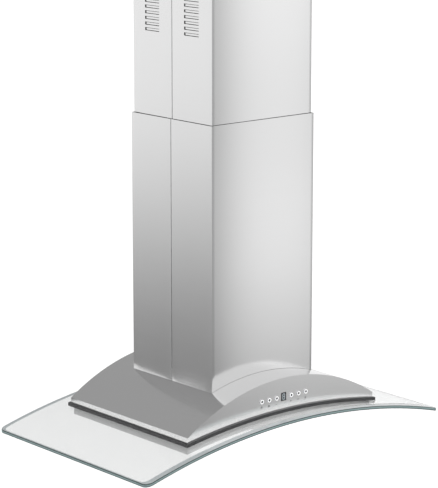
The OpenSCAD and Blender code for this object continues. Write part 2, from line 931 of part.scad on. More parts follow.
glass_bushings();
glass_bolts();
tray_seal();
under_tray();
lamp_housings();
lamp_lenses();
control_board();
display_module();
display_window();
button_bezels();
control_icons();
button(1);  // button_1
button(2);  // button_2
button(3);  // button_3
button(4);  // button_4
button(5);  // button_5
button(6);  // button_6
filter_frame(-1);  // filter_left
filter_frame(1);  // filter_right
filter_baffles(-1);  // filter_baffles_left
filter_baffles(1);  // filter_baffles_right
filter_latch(-1);  // filter_latch_left
filter_latch(1);  // filter_latch_right
lower_chimney(-1);  // lower_chimney_front
lower_chimney(1);  // lower_chimney_rear
seam_strips(chimney_w - 2 * cover_t, z_crown + 6, z_cover_top - 6);  // lower_seam_strips
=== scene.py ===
"""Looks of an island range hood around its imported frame.

Metres, in the frame's own axes: the origin is at the ceiling, Z points up and -Y is the control side.
Every sub-assembly is a class that makes its own meshes and gives each frame node its finish.
"""

import logging
import math
from dataclasses import dataclass
from enum import Enum

import bmesh
import bpy
import numpy as np
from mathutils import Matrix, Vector


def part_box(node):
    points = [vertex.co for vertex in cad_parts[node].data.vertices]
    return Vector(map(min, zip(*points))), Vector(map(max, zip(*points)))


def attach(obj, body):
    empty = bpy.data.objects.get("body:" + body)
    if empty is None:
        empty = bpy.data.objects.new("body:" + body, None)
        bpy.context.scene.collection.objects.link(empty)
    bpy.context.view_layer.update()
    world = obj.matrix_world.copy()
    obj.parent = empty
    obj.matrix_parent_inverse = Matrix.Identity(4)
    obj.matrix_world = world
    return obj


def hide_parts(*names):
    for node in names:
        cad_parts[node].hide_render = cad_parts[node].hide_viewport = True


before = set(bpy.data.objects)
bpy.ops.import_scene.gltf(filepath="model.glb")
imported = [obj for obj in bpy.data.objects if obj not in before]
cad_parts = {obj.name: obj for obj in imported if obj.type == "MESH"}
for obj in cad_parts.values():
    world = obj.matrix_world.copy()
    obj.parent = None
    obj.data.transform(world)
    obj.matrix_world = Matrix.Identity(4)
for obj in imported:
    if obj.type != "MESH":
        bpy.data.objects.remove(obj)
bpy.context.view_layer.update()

log = logging.getLogger("hood")
Triple = tuple[float, float, float]
Colour = Triple
MERGE_GAP = 1e-6  # metres within which points count as one
FLAT_TURN = 0.05  # degrees within which two faces count as one plane


# ---- Shader building ----


class Sock:
    """A shader number that takes part in ordinary arithmetic by adding Math nodes."""

    def __init__(self, shader: "Shader", socket: bpy.types.NodeSocket) -> None:
        """Keeps the socket and the tree it lives in."""
        self.shader = shader
        self.socket = socket

    def _math(self, operation: str, *values: object, clamp: bool = False) -> "Sock":
        """One Math node.

        Args:
            operation: the Math node's operation.
            values: its inputs in order, numbers or Socks.
            clamp: whether the result is held between 0 and 1.

        Returns:
            The node's result.
        """
        node = self.shader.node(
            "ShaderNodeMath",
            {"operation": operation, "use_clamp": clamp},
            dict(enumerate(values)),
        )
        return Sock(self.shader, node.outputs[0])

    def __add__(self, other: object) -> "Sock":
        """self + other"""
        return self._math("ADD", self, other)

    __radd__ = __add__

    def __sub__(self, other: object) -> "Sock":
        """self - other"""
        return self._math("SUBTRACT", self, other)

    def __rsub__(self, other: object) -> "Sock":
        """other - self"""
        return self._math("SUBTRACT", other, self)

    def __mul__(self, other: object) -> "Sock":
        """self * other"""
        return self._math("MULTIPLY", self, other)

    __rmul__ = __mul__

    def __truediv__(self, other: object) -> "Sock":
        """self / other"""
        return self._math("DIVIDE", self, other)

    def __rtruediv__(self, other: object) -> "Sock":
        """other / self"""
        return self._math("DIVIDE", other, self)

    def __pow__(self, other: object) -> "Sock":
        """self to the power of other"""
        return self._math("POWER", self, other)

    def held(self) -> "Sock":
        """The value held between 0 and 1."""
        return self._math("ADD", self, 0.0, clamp=True)

    def ramp(self, low: float, high: float) -> "Sock":
        """0 below low and 1 above high with a smooth step between them, for low < high.

        Args:
            low: where the step starts.
            high: where the step ends.

        Returns:
            t * t * (3 - 2 t) of the share t of the way from low to high.
        """
        t = ((self - low) / (high - low)).held()
        return t * t * (3 - 2 * t)


class Shader:
    """The node tree of a material or of the world."""

    def __init__(self, tree: bpy.types.NodeTree) -> None:
        """Empties the tree."""
        tree.nodes.clear()
        self.tree = tree

    def node(self, kind: str, settings: dict | None = None, inputs: dict | None = None) -> bpy.types.Node:
        """Adds one node.

        Args:
            kind: the node's type name.
            settings: its properties, set before its sockets.
            inputs: socket name or number to a value, a Sock or an output socket.

        Returns:
            The node.
        """
        made = self.tree.nodes.new(kind)
        for name, value in (settings or {}).items():
            setattr(made, name, value)
        for name, value in (inputs or {}).items():
            if isinstance(value, Sock):
                value = value.socket
            if isinstance(value, bpy.types.NodeSocket):
                self.tree.links.new(value, made.inputs[name])
            else:
                made.inputs[name].default_value = value
        return made

    def number(self, socket: bpy.types.NodeSocket) -> Sock:
        """The socket as a number for arithmetic."""
        return Sock(self, socket)

    def place(self) -> tuple[bpy.types.NodeSocket, Sock, Sock, Sock]:
        """Object coordinates.

        Returns:
            The vector and its X, Y and Z in metres.
        """
        vector = self.node("ShaderNodeTexCoord").outputs["Object"]
        parts = self.node("ShaderNodeSeparateXYZ", None, {0: vector}).outputs
        return vector, Sock(self, parts[0]), Sock(self, parts[1]), Sock(self, parts[2])

    def stretched(self, scale: Triple) -> bpy.types.NodeSocket:
        """Object coordinates stretched by a scale for each axis."""
        vector = self.place()[0]
        return self.node("ShaderNodeMapping", None, {"Vector": vector, "Scale": scale}).outputs[0]

    def noise(self, scale: Triple, detail: float = 2.0, roughness: float = 0.5) -> Sock:
        """Noise over the object.

        Args:
            scale: how many blotches fit in a metre along each axis.
            detail: octaves of the noise.
            roughness: weight of the finer octaves.

        Returns:
            The noise, about 0 to 1.
        """
        made = self.node(
            "ShaderNodeTexNoise",
            None,
            {"Vector": self.stretched(scale), "Scale": 1.0, "Detail": detail, "Roughness": roughness},
        )
        return Sock(self, made.outputs[0])

    def blend(self, share: Sock, low: Colour, high: Colour) -> bpy.types.NodeSocket:
        """A colour between low and high by share."""
        made = self.node(
            "ShaderNodeMix",
            {"data_type": "RGBA"},
            {0: share, 6: (*low, 1.0), 7: (*high, 1.0)},
        )
        return made.outputs[2]

    def bump(
        self, height: Sock, distance: float, strength: float, normal: object = None
    ) -> bpy.types.NodeSocket:
        """A bump from a height map.

        Args:
            height: the map.
            distance: metres that a height of 1 stands for.
            strength: share of the bump that shows.
            normal: the normal it is laid on, or None for the surface's own.

        Returns:
            The bumped normal.
        """
        inputs = {"Height": height, "Distance": distance, "Strength": strength}
        if normal is not None:
            inputs["Normal"] = normal
        return self.node("ShaderNodeBump", None, inputs).outputs[0]

    def surface(self, **inputs: object) -> bpy.types.Node:
        """A Principled shader joined to the output.

        Args:
            inputs: its sockets, with underscores for the spaces in their names.

        Returns:
            The Principled node.
        """
        made = self.node(
            "ShaderNodeBsdfPrincipled",
            None,
            {name.replace("_", " "): value for name, value in inputs.items()},
        )
        self.node("ShaderNodeOutputMaterial", None, {"Surface": made.outputs[0]})
        return made


# ---- Finishes ----


class Grain(Enum):
    """Direction of the brush lines, as noise scales along X, Y and Z."""

    LEVEL = (4.0, 4.0, 1500.0)
    DEPTH = (900.0, 3.0, 900.0)


@dataclass(frozen=True)
class Finish:
    """A finish that builds its material once and hands it out again."""

    name: str

    def shade(self, shader: Shader) -> None:
        """Fills the shader; each finish has its own.

        Args:
            shader: the material's node tree.
        """
        raise NotImplementedError

    def material(self) -> bpy.types.Material:
        """Finds the material of this finish, or makes it.

        Returns:
            The material.
        """
        made = bpy.data.materials.get(self.name)
        if made is None:
            made = bpy.data.materials.new(self.name)
            made.use_nodes = True
            self.shade(Shader(made.node_tree))
        return made


@dataclass(frozen=True)
class BrushedSteel(Finish):
    """Brushed stainless sheet: fine lines, faint smudges and a slight crown across each panel."""

    tone: float = 0.80
    tone_spread: float = 0.025
    roughness: float = 0.24
    grain: Grain = Grain.LEVEL
    half_width: float = 0.0
    half_depth: float = 0.0
    crown: float = 0.0
    metal: float = 1.0

    def shade(self, shader: Shader) -> None:
        """Brush lines in roughness and bump; the normal leans outwards by crown at a panel's edges.

        Args:
            shader: the material's node tree.
        """
        _, x, y, _ = shader.place()
        lines = shader.noise(self.grain.value, 3.0, 0.65)
        smudges = shader.noise((5.0, 5.0, 5.0), 3.0)
        normal = None
        if self.crown:
            lean = shader.node(
                "ShaderNodeCombineXYZ",
                None,
                {0: x * (self.crown / self.half_width), 1: y * (self.crown / self.half_depth), 2: 0.0},
            )
            flat = shader.node("ShaderNodeNewGeometry").outputs["Normal"]
            total = shader.node("ShaderNodeVectorMath", {"operation": "ADD"}, {0: flat, 1: lean.outputs[0]})
            unit = shader.node("ShaderNodeVectorMath", {"operation": "NORMALIZE"}, {0: total.outputs[0]})
            normal = unit.outputs[0]
        low = self.tone - self.tone_spread
        high = self.tone + self.tone_spread
        shader.surface(
            Base_Color=shader.blend(lines * 0.6 + smudges * 0.4, (low, low, low * 1.004), (high, high, high)),
            Metallic=self.metal,
            Roughness=self.roughness + (lines - 0.5) * 0.08 + (smudges - 0.5) * 0.05,
            Normal=shader.bump(lines, 0.00002, 0.35, normal),
        )


@dataclass(frozen=True)
class ZincSheet(Finish):
    """Galvanised sheet with its crystal spangle."""

    tone: float = 0.62

    def shade(self, shader: Shader) -> None:
        """Voronoi cells a centimetre wide shift the colour and roughness.

        Args:
            shader: the material's node tree.
        """
        cells = shader.node(
            "ShaderNodeTexVoronoi", None, {"Vector": shader.stretched((90.0, 90.0, 90.0)), "Scale": 1.0}
        )
        split = shader.node("ShaderNodeSeparateColor", None, {0: cells.outputs["Color"]})
        spangle = shader.number(split.outputs[0])
        low, high = self.tone - 0.09, self.tone + 0.07
        shader.surface(
            Base_Color=shader.blend(spangle, (low, low, low * 1.03), (high, high, high * 1.02)),
            Metallic=1.0,
            Roughness=0.34 + spangle * 0.16,
            Normal=shader.bump(shader.noise((300.0, 300.0, 300.0)), 0.00004, 0.3),
        )


@dataclass(frozen=True)
class Polished(Finish):
    """Turned or plated metal with faint circular wear."""

    colour: Colour = (0.86, 0.86, 0.88)
    roughness: float = 0.12

    def shade(self, shader: Shader) -> None:
        """Small noise in colour and roughness.

        Args:
            shader: the material's node tree.
        """
        wear = shader.noise((700.0, 700.0, 700.0), 3.0)
        dull = tuple(c * 0.88 for c in self.colour)
        shader.surface(
            Base_Color=shader.blend(wear, dull, self.colour),
            Metallic=1.0,
            Roughness=self.roughness + wear * 0.1,
            Normal=shader.bump(wear, 0.00001, 0.3),
        )


@dataclass(frozen=True)
class Moulded(Finish):
    """Moulded plastic, rubber or painted metal with a fine leather-like skin."""

    colour: Colour = (0.02, 0.02, 0.022)
    roughness: float = 0.45
    scale: float = 1400.0
    coat: float = 0.0
    depth: float = 0.00005

    def shade(self, shader: Shader) -> None:
        """Fine skin in the bump, with slow change in colour and roughness.

        Args:
            shader: the material's node tree.
        """
        skin = shader.noise((self.scale, self.scale, self.scale), 2.0)
        slow = shader.noise((14.0, 14.0, 14.0), 3.0)
        pale = tuple(min(1.0, c * 1.25 + 0.006) for c in self.colour)
        shader.surface(
            Base_Color=shader.blend(slow, self.colour, pale),
            Roughness=self.roughness + (slow - 0.5) * 0.12,
            Coat_Weight=self.coat,
            Normal=shader.bump(skin, self.depth, 0.5),
        )


@dataclass(frozen=True)
class CircuitBoard(Finish):
    """Green board with copper tracks under the lacquer."""

    def shade(self, shader: Shader) -> None:
        """Tracks show where noise passes a threshold.

        Args:
            shader: the material's node tree.
        """
        tracks = shader.noise((500.0, 500.0, 120.0), 0.0).ramp(0.48, 0.52)
        shader.surface(
            Base_Color=shader.blend(tracks, (0.01, 0.12, 0.045), (0.03, 0.24, 0.09)),
            Roughness=0.3 + tracks * 0.1,
            Coat_Weight=0.4,
            Normal=shader.bump(tracks, 0.00004, 0.5),
        )


@dataclass(frozen=True)
class Glow(Finish):
    """Lit plastic: the display's bars or a lamp's frosted lens, and the painted highlight glowing on the
    button rims.
    """

    colour: Colour = (0.9, 0.95, 1.0)
    strength: float = 1.0

    def shade(self, shader: Shader) -> None:
        """Emission that noise makes slightly uneven.

        Args:
            shader: the material's node tree.
        """
        frost = shader.noise((900.0, 900.0, 900.0), 2.0)
        dim = tuple(c * 0.9 for c in self.colour)
        shader.surface(
            Base_Color=shader.blend(frost, dim, self.colour),
            Roughness=0.35 + frost * 0.2,
            Emission_Color=shader.blend(frost, dim, self.colour),
            Emission_Strength=self.strength,
            Normal=shader.bump(frost, 0.00005, 0.4),
        )


@dataclass(frozen=True)
class SheetGlass(Finish):
    """Clear toughened glass, seen through its faces."""

    tint: Colour = (0.83, 0.838, 0.836)

    def shade(self, shader: Shader) -> None:
        """Clear glass with a very slight roller wave from toughening.

        Args:
            shader: the material's node tree.
        """
        wave = shader.noise((22.0, 3.0, 3.0), 1.0)
        film = shader.noise((9.0, 9.0, 9.0), 3.0)
        edge = tuple(c * 0.985 for c in self.tint)
        shader.surface(
            Base_Color=shader.blend(film, edge, self.tint),
            Roughness=0.01 + film * 0.02,
            IOR=1.5,
            Transmission_Weight=1.0,
            Normal=shader.bump(wave, 0.00006, 0.3),
        )


@dataclass(frozen=True)
class GlassEdge(Finish):
    """Ground and polished edge of the glass, where its own green shows; paler and darker copies of it are
    painted reflection and painted shade.
    """

    colour: Colour = (0.19, 0.27, 0.27)
    roughness: float = 0.14

    def shade(self, shader: Shader) -> None:
        """A glossy body colour with streaks along the edge, as light gathers inside the sheet.

        Args:
            shader: the material's node tree.
        """
        streaks = shader.noise((9.0, 9.0, 420.0), 2.0)
        pale = tuple(min(1.0, c * 1.45) for c in self.colour)
        shader.surface(
            Base_Color=shader.blend(streaks, self.colour, pale),
            Roughness=self.roughness + streaks * 0.08,
            IOR=1.5,
            Coat_Weight=0.6,
            Normal=shader.bump(streaks, 0.00005, 0.3),
        )


COVER_STEEL = BrushedSteel(
    "steel_lower_cover", roughness=0.16, half_width=0.1545, half_depth=0.142, crown=0.08
)
UPPER_STEEL = BrushedSteel(
    "steel_upper_cover", roughness=0.16, half_width=0.150, half_depth=0.138, crown=0.08
)
BODY_STEEL = BrushedSteel("steel_body", roughness=0.15, half_width=0.285, half_depth=0.214, crown=0.04)
TRAY_STEEL = BrushedSteel("steel_tray", tone=0.93, roughness=0.55, metal=0.25)
BAFFLE_STEEL = BrushedSteel("steel_baffles", tone=0.76, roughness=0.26, grain=Grain.DEPTH)
ZINC = ZincSheet("zinc")
# Painted shade: a dark copy of the zinc for the seam strips behind the cover joints, standing for the shadow
# in the joints.
ZINC_PAINTED_SHADE = ZincSheet("zinc_painted_shade", 0.2)
CHROME = Polished("chrome")
SCREW = Polished("screw_steel", (0.7, 0.7, 0.71), 0.22)
BAND = Moulded("band_rubber", (0.022, 0.022, 0.024), 0.32, coat=0.25)
BLACK = Moulded("black_plastic", (0.012, 0.012, 0.014), 0.2, coat=0.5, depth=0.00002)
NYLON = Moulded("nylon", (0.03, 0.03, 0.03), 0.42)
MOTOR = Moulded("motor_casting", (0.16, 0.165, 0.175), 0.4, 400.0, depth=0.0002)
WHITE = Moulded("white_plastic", (0.78, 0.78, 0.75), 0.35)
INK = Moulded("ink", (0.006, 0.006, 0.007), 0.6)
# Painted highlight: the button rims glow, though no lamp is in them.
RIM_PAINTED_HIGHLIGHT = Glow("button_rim_painted_highlight", (1.0, 1.0, 1.0), 0.55)
BOARD = CircuitBoard("circuit_board")
DIGIT = Glow("display_light", (0.9, 0.95, 1.0), 1.2)
LENS = Glow("lamp_lens", (0.95, 0.95, 0.9), 0.35)
CLEAR = SheetGlass("sheet_glass")
# Painted light on the glass edge: the pale copy is a painted reflection of the bright room, the dark copy is
# painted shade, and the middle is the glass's own green.
EDGE_PAINTED_REFLECTION = GlassEdge("glass_edge_painted_reflection", (0.62, 0.67, 0.68))
EDGE_MIDDLE = GlassEdge("glass_edge_middle", (0.20, 0.27, 0.27))
EDGE_PAINTED_SHADE = GlassEdge("glass_edge_painted_shade", (0.035, 0.06, 0.06))


# ---- Mesh making ----


def mesh_object(name: str, points: np.ndarray, faces: np.ndarray, finishes: list[Finish],
                picks: np.ndarray | None = None) -> bpy.types.Object:
    """Makes an object at the origin from whole arrays.

    Args:
        name: the piece's name.
        points: N by 3 places in metres.
        faces: M by 4 point numbers, each face turning anticlockwise seen from outside.
        finishes: the finishes of the material slots.
        picks: slot number of each face, or None for the first.

    Returns:
        The object, smooth shaded.
    """
    mesh = bpy.data.meshes.new(name)
    count = len(faces)
    mesh.vertices.add(len(points))
    mesh.vertices.foreach_set("co", points.astype(np.float32).ravel())
    mesh.loops.add(count * 4)
    mesh.loops.foreach_set("vertex_index", faces.astype(np.int32).ravel())
    mesh.polygons.add(count)
    mesh.polygons.foreach_set("loop_start", np.arange(0, count * 4, 4, dtype=np.int32))
    for finish in finishes:
        mesh.materials.append(finish.material())
    if picks is not None:
        mesh.polygons.foreach_set("material_index", picks.astype(np.int32))
    mesh.polygons.foreach_set("use_smooth", np.ones(count, bool))
    mesh.update(calc_edges=True)
    mesh.validate()
    made = bpy.data.objects.new(name, mesh)
    bpy.context.scene.collection.objects.link(made)
    return made


def grid_faces(rows: int, columns: int, close_rows: bool, close_columns: bool) -> np.ndarray:
    """Quads of a grid whose points run along a row first.

    Args:
        rows: number of rows of points.
        columns: points in a row.
        close_rows: joins the last row to the first.
        close_columns: joins the ends of each row.

    Returns:
        An array of quads, row by row.
    """
    i = np.arange(rows if close_rows else rows - 1)[:, None]
    j = np.arange(columns if close_columns else columns - 1)[None, :]
    a = i * columns + j
    b = i * columns + (j + 1) % columns
    c = ((i + 1) % rows) * columns + (j + 1) % columns
    d = ((i + 1) % rows) * columns + j
    return np.stack(np.broadcast_arrays(a, b, c, d), -1).reshape(-1, 4)


def rounded_loop(width: float, depth: float, radius: float, counts: tuple[int, int, int]) -> np.ndarray:
    """A rounded rectangle as a closed loop of points.

    Each corner is an arc about its own centre and each side is divided evenly, so two loops with the same
    counts match point by point.

    Args:
        width: size along X.
        depth: size along Y.
        radius: corner radius.
        counts: points along a side of the width, a side of the depth and a corner.

    Returns:
        Points anticlockwise from the right side, N by 2.
    """
    along, across, corner = counts
    half_w, half_d = width / 2, depth / 2
    turn = np.linspace(0.0, np.pi / 2, corner)
    centres = np.array([[1, 1], [-1, 1], [-1, -1], [1, -1]]) * np.array([half_w - radius, half_d - radius])
    parts = []
    for k, centre in enumerate(centres):
        angle = turn + k * np.pi / 2
        arc = centre + radius * np.stack([np.cos(angle), np.sin(angle)], 1)
        parts.append(arc)
        start = (k + 1) * np.pi / 2
        goal = centres[(k + 1) % 4] + radius * np.array([np.cos(start), np.sin(start)])
        steps = np.linspace(0.0, 1.0, (along if k % 2 == 0 else across) + 2)[1:-1, None]
        parts.append(arc[-1] + steps * (goal - arc[-1]))
    return np.concatenate(parts)


def sharpen(made: bpy.types.Object, degrees: float) -> None:
    """Marks edges that turn by more than an angle as sharp."""
    made.data.set_sharp_from_angle(angle=math.radians(degrees))


def settle(made: bpy.types.Object) -> None:
    """Applies an object's modifiers, so that its final edges can be sharpened.

    Args:
        made: the object.
    """
    graph = bpy.context.evaluated_depsgraph_get()
    solid = bpy.data.meshes.new_from_object(made.evaluated_get(graph))
    made.modifiers.clear()
    made.data = solid


def turn_outwards(made: bpy.types.Object) -> None:
    """Turns every face of a closed mesh outwards.

    Args:
        made: the object.
    """
    work = bmesh.new()
    work.from_mesh(made.data)
    bmesh.ops.recalc_face_normals(work, faces=work.faces)
    work.to_mesh(made.data)
    work.free()


def lathe(name: str, profile: list[tuple[float, float]], centre: Triple, finishes: list[Finish],
          picks: list[int], steps: int = 40) -> bpy.types.Object:
    """A profile turned about the line through centre along -Y.

    A point is centre + radius * (cos t, 0, sin t) - out * Y, for each pair of radius and out in the profile
    and each angle t. The profile starts and ends on the axis, where a ring's points are merged into one.

    Args:
        name: the piece's name.
        profile: radius and distance out of the face, from the back round to the front's middle, in metres.
        centre: where the axis meets the face.
        finishes: the material slots.
        picks: slot of each band between two profile points.
        steps: points round the circle.

    Returns:
        The object.
    """
    ring = np.array(profile)
    t = np.linspace(0, 2 * np.pi, steps, endpoint=False)
    radius, out = ring[:, 0][:, None], ring[:, 1][:, None]
    points = np.stack(
        [centre[0] + radius * np.cos(t), centre[1] - out + 0 * t, centre[2] + radius * np.sin(t)], -1
    ).reshape(-1, 3)
    faces = grid_faces(len(profile), steps, False, True)
    made = mesh_object(name, points, faces, finishes, np.repeat(np.array(picks), steps))
    work = bmesh.new()
    work.from_mesh(made.data)
    bmesh.ops.remove_doubles(work, verts=work.verts, dist=MERGE_GAP)
    bmesh.ops.recalc_face_normals(work, faces=work.faces)
    work.to_mesh(made.data)
    work.free()
    sharpen(made, 32)
    return made


def softened(node: str, body: str, width: float, finish: Finish) -> bpy.types.Object:
    """A copy of a frame node with its folds rounded, in the node's place.

    Args:
        node: the frame node.
        body: the body it rides on.
        width: width of the rounding in metres.
        finish: its finish.

    Returns:
        The copy.
    """
    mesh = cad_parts[node].data.copy()
    mesh.name = node + "_sheet"
    work = bmesh.new()
    work.from_mesh(mesh)
    bmesh.ops.remove_doubles(work, verts=work.verts, dist=MERGE_GAP)
    bmesh.ops.dissolve_degenerate(work, edges=work.edges, dist=MERGE_GAP)
    bmesh.ops.dissolve_limit(
        work, angle_limit=math.radians(FLAT_TURN), verts=work.verts, edges=work.edges
    )
    work.to_mesh(mesh)
    work.free()
    for stored in ("custom_normal", "sharp_edge", "sharp_face"):
        if stored in mesh.attributes:
            mesh.attributes.remove(mesh.attributes[stored])
    mesh.materials.clear()
    mesh.materials.append(finish.material())
    mesh.polygons.foreach_set("material_index", np.zeros(len(mesh.polygons), np.int32))
    mesh.polygons.foreach_set("use_smooth", np.ones(len(mesh.polygons), bool))
    made = bpy.data.objects.new(node + "_sheet", mesh)
    bpy.context.scene.collection.objects.link(made)
    sharpen(made, 30)
    bevel = made.modifiers.new("folds", "BEVEL")
    bevel.width = width
    bevel.segments = 2
    bevel.limit_method = "ANGLE"
    bevel.angle_limit = math.radians(40)
    bevel.harden_normals = True
    bevel.use_clamp_overlap = True
    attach(made, body)
    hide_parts(node)
    log.info("softened %s", node)
    return made


def dress(finish: Finish, *nodes: str) -> None:
    """Gives frame nodes a finish; their meshes stay as they are.

    Args:
        finish: the finish.
        nodes: the nodes' names.
    """
    for node in nodes:
        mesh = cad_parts[node].data
        mesh.materials.clear()
        mesh.materials.append(finish.material())
        log.info("dressed %s in %s", node, finish.name)


# ---- Sub-assemblies ----


@dataclass
class CoverHalf:
    """One U-shaped half of a cover, folded from sheet, with a rounded lip at each joint.

    side is -1 for the front half and 1 for the rear. fold and lip are radii, joint is half the gap between
    the halves and sheet the thickness.
    """

    node: str
    body: str
    finish: Finish
    side: int
    fold: float = 0.0022
    lip: float = 0.0016
    joint: float = 0.0009
    sheet: float = 0.001
    marks: tuple[float, ...] = ()

    def plan(self) -> np.ndarray:
        """Plan of the sheet's outer face, from its left joint round to its right one.

        Each side is a quarter circle for the lip, a straight run and a quarter circle for the fold; a
        straight panel joins the two sides. Marks add points to the runs, where slots start and end.

        Returns:
            Points, N by 2.
        """
        low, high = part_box(self.node)
        half_w = (high[0] - low[0]) / 2
        half_d = max(abs(low[1]), abs(high[1]))
        turn = np.linspace(0.0, np.pi / 2, 6)
        lip_y = self.joint + self.lip * (1 - np.cos(turn))
        lip_x = -half_w + self.lip * (1 - np.sin(turn))
        run_end = half_d - self.fold
        run = np.sort(np.concatenate([np.linspace(self.joint + self.lip, run_end, 7)[1:-1], self.marks]))
        fold_x = -half_w + self.fold * (1 - np.cos(turn))
        fold_y = run_end + self.fold * np.sin(turn)
        left = np.concatenate([
            np.column_stack([lip_x, lip_y]),
            np.column_stack([np.full(len(run), -half_w), run]),
            np.column_stack([fold_x, fold_y]),
        ])
        across = np.linspace(-half_w + self.fold, half_w - self.fold, 41)[1:-1]
        panel = np.column_stack([across, np.full(len(across), half_d)])
        path = np.concatenate([left, panel, left[::-1] * np.array([-1.0, 1.0])])
        return path * np.array([1.0, self.side])

    def build(
        self, foot: np.ndarray | float, levels: np.ndarray, slots: np.ndarray | None = None
    ) -> None:
        """Carries the plan up through the levels.

        A point's height is foot + (top - foot) * level, with levels from 0 to 1. Faces inside a slot are
        left out. A Solidify modifier, applied at once, gives the sheet its thickness inwards.

        Args:
            foot: height of the foot at every point of the plan, or one height for all.
            levels: shares of the way from foot to top.
            slots: whether each face is cut away, rows of levels by columns of the plan, or None.
        """
        plan = self.plan()
        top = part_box(self.node)[1][2]
        foot = np.zeros(len(plan)) + foot
        z = foot[None, :] + (top - foot)[None, :] * levels[:, None]
        x, y = (np.broadcast_to(plan[:, axis], z.shape) for axis in (0, 1))
        points = np.stack([x, y, z], -1).reshape(-1, 3)
        faces = grid_faces(len(levels), len(plan), False, False)
        if self.side > 0:
            faces = faces[:, ::-1]
        if slots is not None:
            faces = faces[~slots.ravel()]
        made = mesh_object(self.node + "_sheet", points, faces, [self.finish])
        thick = made.modifiers.new("sheet", "SOLIDIFY")
        thick.thickness = self.sheet
        thick.offset = -1.0
        thick.use_even_offset = True
        settle(made)
        sharpen(made, 40)
        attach(made, self.body)
        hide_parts(self.node)
        log.info("built %s with %d points", made.name, len(points))


